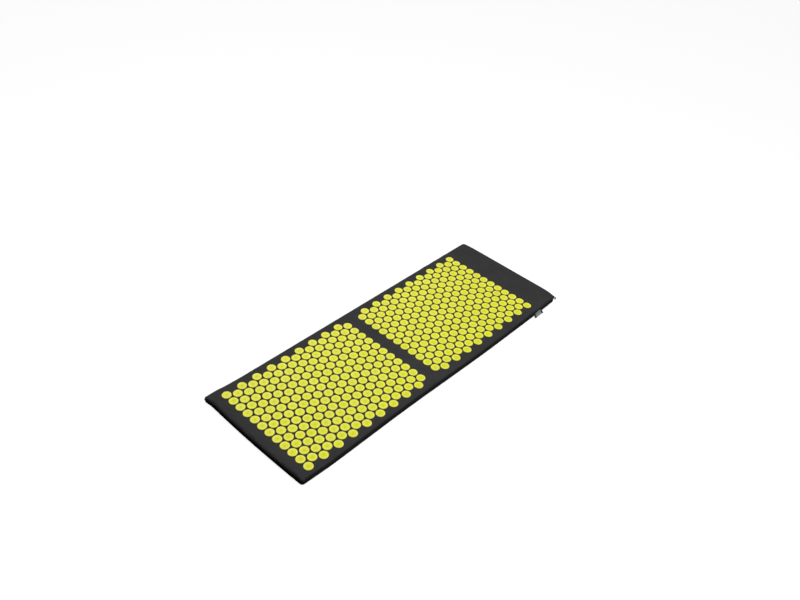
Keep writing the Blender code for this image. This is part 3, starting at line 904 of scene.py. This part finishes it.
def build_foam(foam):
    """The foam slab inside the cover, in one piece from end to end."""
    inset = cloth_thickness + foam_gap
    slab = SoftSlab(side_x - inset, foot_y + inset, head_y - foam_zip_setback, inset,
                    cloth_top_z - inset, inset)
    flat_x = 2 * slab.half_width - 2 * slab.edge
    flat_y = slab.high_y - slab.low_y - 2 * slab.edge
    lines_x = slab.lines(flat_x + 2 * slab.over_edge, foam_cell)
    fold_line = slab.from_side(fold_y - slab.low_y)
    lines_y = slab.lines(flat_y + 2 * slab.over_edge, foam_cell,
                         fine=(fold_line - fold_fine_reach, fold_line + fold_fine_reach,
                               fold_cell))
    count_x, count_y = len(lines_x), len(lines_y)
    count = count_x * count_y
    points = np.concatenate([slab.panel(lines_x, lines_y, 1), slab.panel(lines_x, lines_y, -1)])
    rim = border(count_x, count_y)
    under_number = np.arange(count) + count
    under_number[rim] = rim
    faces = np.array(grid_faces(count_x, count_y, 1) + [
        tuple(int(under_number[n]) for n in face) for face in grid_faces(count_x, count_y, -1)])
    used = np.unique(faces)
    number = np.full(2 * count, -1)
    number[used] = np.arange(len(used))
    core = mesh_object("mat_foam", points[used], number[faces], foam)
    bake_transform(core)
    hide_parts("foot_foam", "head_foam")


def turned(profile, segments):
    """Points and faces of a closed shape turned round Z from a profile, bottom to top."""
    angles = np.arange(segments) * 2 * math.pi / segments
    points = [(radius * math.cos(a), radius * math.sin(a), z)
              for radius, z in profile for a in angles]
    faces = [tuple(range(segments))[::-1]]
    for ring in range(len(profile) - 1):
        low, high = ring * segments, (ring + 1) * segments
        for k in range(segments):
            after = (k + 1) % segments
            faces.append((low + k, low + after, high + after, high + k))
    top = (len(profile) - 1) * segments
    faces.append(tuple(range(top, top + segments)))
    return points, faces


def spike_disc():
    """One disc: a plate with a raised rim, and its rings of small blunt spikes."""
    plate = [(disc_radius - plate_foot_inset, 0.0), (disc_radius, plate_edge_height)]
    plate += [(disc_radius - across * rim_width, rim_height * up)
              for across, up in rim_section_shares]
    plate.append((disc_radius - rim_width, plate_height))
    points, faces = turned(plate, plate_segments)
    height = disc_height + disc_sink
    foot_z = plate_height * spike_sunk_share
    waist_z = foot_z + (height - foot_z) * spike_waist_share
    cone = [(spike_foot_radius, foot_z), (spike_waist_radius, waist_z),
            (spike_tip_radius, height)]
    for ring_radius, count in spike_rings:
        for k in range(count):
            angle = 2 * math.pi * (k + 0.5) / count
            spike_points, spike_faces = turned(cone, spike_segments)
            first = len(points)
            points += [(x + ring_radius * math.cos(angle), y + ring_radius * math.sin(angle), z)
                       for x, y, z in spike_points]
            faces += [tuple(n + first for n in face) for face in spike_faces]
    return np.array(points), faces


def build_discs(plastic):
    """Both fields of discs, each disc turned its own way on the cloth."""
    template, template_faces = spike_disc()
    spot = template * (1, 1, 0) / disc_radius
    rng = np.random.default_rng(11)
    for name, end, body, node in (("foot_spike_discs", -1, "foot_half", "foot_top_cloth"),
                                  ("head_spike_discs", 1, "head_half", "head_top_cloth")):
        all_points, all_faces, tones = [], [], []
        for place, (x, y) in enumerate(disc_centres(end)):
            angle = rng.uniform(0, 2 * math.pi)
            cos, sin = math.cos(angle), math.sin(angle)
            turn = np.array([[cos, sin, 0], [-sin, cos, 0], [0, 0, 1]])
            all_points.append(template @ turn + (x, y, cloth_top_z - disc_sink))
            first = place * len(template)
            all_faces += [tuple(n + first for n in face) for face in template_faces]
            # Painted glare: the tone rises towards the left side and the foot end; a random shade is
            # added for each disc
            tone = tone_in_middle + painted_glare_across * x / side_x + painted_glare_along * y / head_y
            tone += rng.uniform(-tone_spread, tone_spread)
            tones.append(np.full(len(template), tone))
        item = mesh_object(name, np.concatenate(all_points), all_faces, plastic)
        item.data.set_sharp_from_angle(angle=disc_crease_angle)
        layer = item.data.attributes.new("disc_tone_and_glare", "FLOAT", "POINT")
        layer.data.foreach_set("value", np.concatenate(tones).astype(np.float32))
        layer = item.data.attributes.new("disc_place", "FLOAT_VECTOR", "POINT")
        layer.data.foreach_set("vector", np.tile(spot, (len(tones), 1)).astype(np.float32).ravel())
        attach(item, body)
        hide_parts(node)


def along_zip(x, y, rise):
    """A place beside the zip, drawn in and down with the cover near the head corners."""
    from_side_x = side_x - abs(x)
    radius = head_right_corner[0] if x > 0 else head_left_corner[0]
    past = max(radius - from_side_x, 0.0)
    drawn_in = radius - math.sqrt(radius ** 2 - past ** 2)
    away = math.hypot(from_side_x, head_y - y) / corner_pinch_reach
    return x, y - drawn_in, rise * (1 - head_corner_pinch * math.exp(-away * away))


def build_zip(tape_cloth, teeth_plastic, metal, thread):
    """Tapes behind the teeth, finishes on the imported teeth, stops, slider and pull, and thread."""
    tuck = edge_radius - tape_setback
    wall = (cloth_top_z / 2) - edge_radius
    outer_y = head_y - tape_setback
    bend_y = head_y - edge_radius
    for name, side in (("upper", 1), ("lower", -1)):
        profile = [(outer_y, tape_inner_height), (outer_y, tape_middle_height), (outer_y, wall)]
        for step in range(1, tape_tuck_steps + 1):
            angle = tape_tuck_angle * step / tape_tuck_steps
            profile.append((bend_y + tuck * math.cos(angle), wall + tuck * math.sin(angle)))
        profile = np.array(profile)
        widths = np.concatenate([[0.0], np.cumsum(np.hypot(*np.diff(profile, axis=0).T))])
        xs = np.linspace(-zip_half_length, zip_half_length, tape_columns)
        points = np.array([along_zip(x, y, z) for x in xs for y, z in profile])
        points[:, 2] = seam_z + side * points[:, 2]
        faces = grid_faces(tape_columns, len(profile), side)
        tape = mesh_object("zip_tape_" + name + "_cloth", points, faces, tape_cloth)
        set_cloth_map(tape, [(x + zip_half_length, w) for x in xs for w in widths])
        skin = tape.modifiers.new("skin", "SOLIDIFY")
        skin.thickness = tape_thickness
        skin.offset = -1
        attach(tape, "head_half")
        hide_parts("zip_tape_" + name)
    finishes = {"zip_teeth_upper": (teeth_plastic, 0.00012),
                "zip_teeth_lower": (teeth_plastic, 0.00012),
                "zip_end_box": (teeth_plastic, 0.0003), "zip_top_stop_upper": (metal, 0.0003),
                "zip_top_stop_lower": (metal, 0.0003), "zip_slider": (metal, 0.00022),
                "zip_pull": (metal, 0.0003)}
    for node, (material, round_off) in finishes.items():
        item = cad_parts[node]
        item.data.materials.clear()
        item.data.materials.append(material)
        weld = item.modifiers.new("weld", "WELD")
        weld.merge_threshold = weld_distance
        bevel = item.modifiers.new("round_off", "BEVEL")
        bevel.width = round_off
        bevel.segments = 2
        bevel.limit_method = "ANGLE"
        bevel.angle_limit = round_off_angle
    build_zip_stitches(thread)


def build_zip_stitches(thread):
    """A row of stitches through the cover along each side of the zip."""
    y = head_y + stitch_radius * stitch_proud_share
    rise = zip_window_height + stitch_from_edge
    sides, shares = stitch_sides, stitch_girth_shares
    for name, side in (("upper", 1), ("lower", -1)):
        points, faces = [], []
        count = int(2 * zip_half_length / stitch_pitch)
        for k in range(count):
            start = -zip_half_length + (k + 0.5) * stitch_pitch - stitch_length / 2
            first = len(points)
            for along, girth in shares:
                dip = stitch_radius * stitch_dip_share * (1 - girth)
                x, seat_y, height = along_zip(start + along * stitch_length, y - dip, rise)
                for s in range(sides):
                    a = 2 * math.pi * s / sides
                    points.append((x, seat_y + stitch_radius * girth * math.cos(a),
                                   seam_z + side * (height + stitch_radius * girth * math.sin(a))))
            for ring in range(len(shares) - 1):
                low, high = first + ring * sides, first + (ring + 1) * sides
                for s in range(sides):
                    after = (s + 1) % sides
                    face = (low + s, high + s, high + after, low + after)
                    faces.append(face if side < 0 else face[::-1])
            ends = (tuple(range(first, first + sides)),
                    tuple(range(first + (len(shares) - 1) * sides, first + len(shares) * sides)))
            faces.append(ends[0] if side < 0 else ends[0][::-1])
            faces.append(ends[1][::-1] if side < 0 else ends[1])
        row = mesh_object("zip_stitches_" + name, points, faces, thread)
        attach(row, "head_half")


def build_label(ribbon):
    """The blank ribbon label: one strip folded double, sewn into the seam, drooping a little."""
    line = [(side_x - cloth_thickness, seam_z)]
    line += [(side_x + label_proud * reach, seam_z - label_drop * drop)
             for reach, drop in zip(label_reach_shares, label_drop_shares)]
    line = np.array(line)
    tangent = np.gradient(line, axis=0)
    tangent /= np.linalg.norm(tangent, axis=1)[:, None]
    normal = np.stack([-tangent[:, 1], tangent[:, 0]], axis=1)
    apart = np.linspace(label_root_gap_share, 1.0, len(line))[:, None]
    half = label_ply_gap / 2
    upper = line + normal * half * apart
    lower = line - normal * half * apart
    tip = [line[-1] + tangent[-1] * half * math.cos(a) + normal[-1] * half * math.sin(a)
           for a in np.radians((60, 20, -20, -60))]
    strip = np.concatenate([upper, tip, lower[::-1]])
    widths = np.concatenate([[0.0], np.cumsum(np.hypot(*np.diff(strip, axis=0).T))])
    middle_y = head_y - label_from_head
    along = np.linspace(-label_length / 2, label_length / 2, label_columns)
    out = np.clip((strip[:, 0] - side_x) / label_proud, 0, 1)
    points = []
    for y in along:
        curl = label_curl * math.sin(y / label_length * 2 * math.pi + label_curl_turn) * out ** 2
        lean = float(side_lean(side_x, middle_y + y))
        points += [(x + lean, middle_y + y, z + lift) for (x, z), lift in zip(strip, curl)]
    faces = grid_faces(label_columns, len(strip), -1)
    label = mesh_object("label_ribbon", points, faces, ribbon)
    set_cloth_map(label, [(y + label_length / 2, w) for y in along for w in widths])
    skin = label.modifiers.new("skin", "SOLIDIFY")
    skin.thickness = label_ply
    skin.offset = 0
    smooth = label.modifiers.new("smooth", "SUBSURF")
    smooth.levels = smooth.render_levels = 1
    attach(label, "head_half")
    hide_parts("side_label")


def main():
    """Camera, light and floor, then the finishes, then every piece of the mat."""
    build_camera()
    build_light()
    build_floor()
    weave = plain_weave_group()
    mottle = mottle_group()
    wear = edge_wear_group()
    cotton = cover_cotton(weave, mottle)
    thread = sewing_thread()
    build_cover(cotton)
    build_foam(foam_core(mottle))
    build_discs(disc_plastic(mottle))
    build_zip(zip_tape_cloth(weave), zip_teeth_plastic(mottle, wear),
              lacquered_metal(mottle, wear), thread)
    build_label(label_satin(weave))


main()

# Bring the scene up to date at the end
bpy.context.view_layer.update()
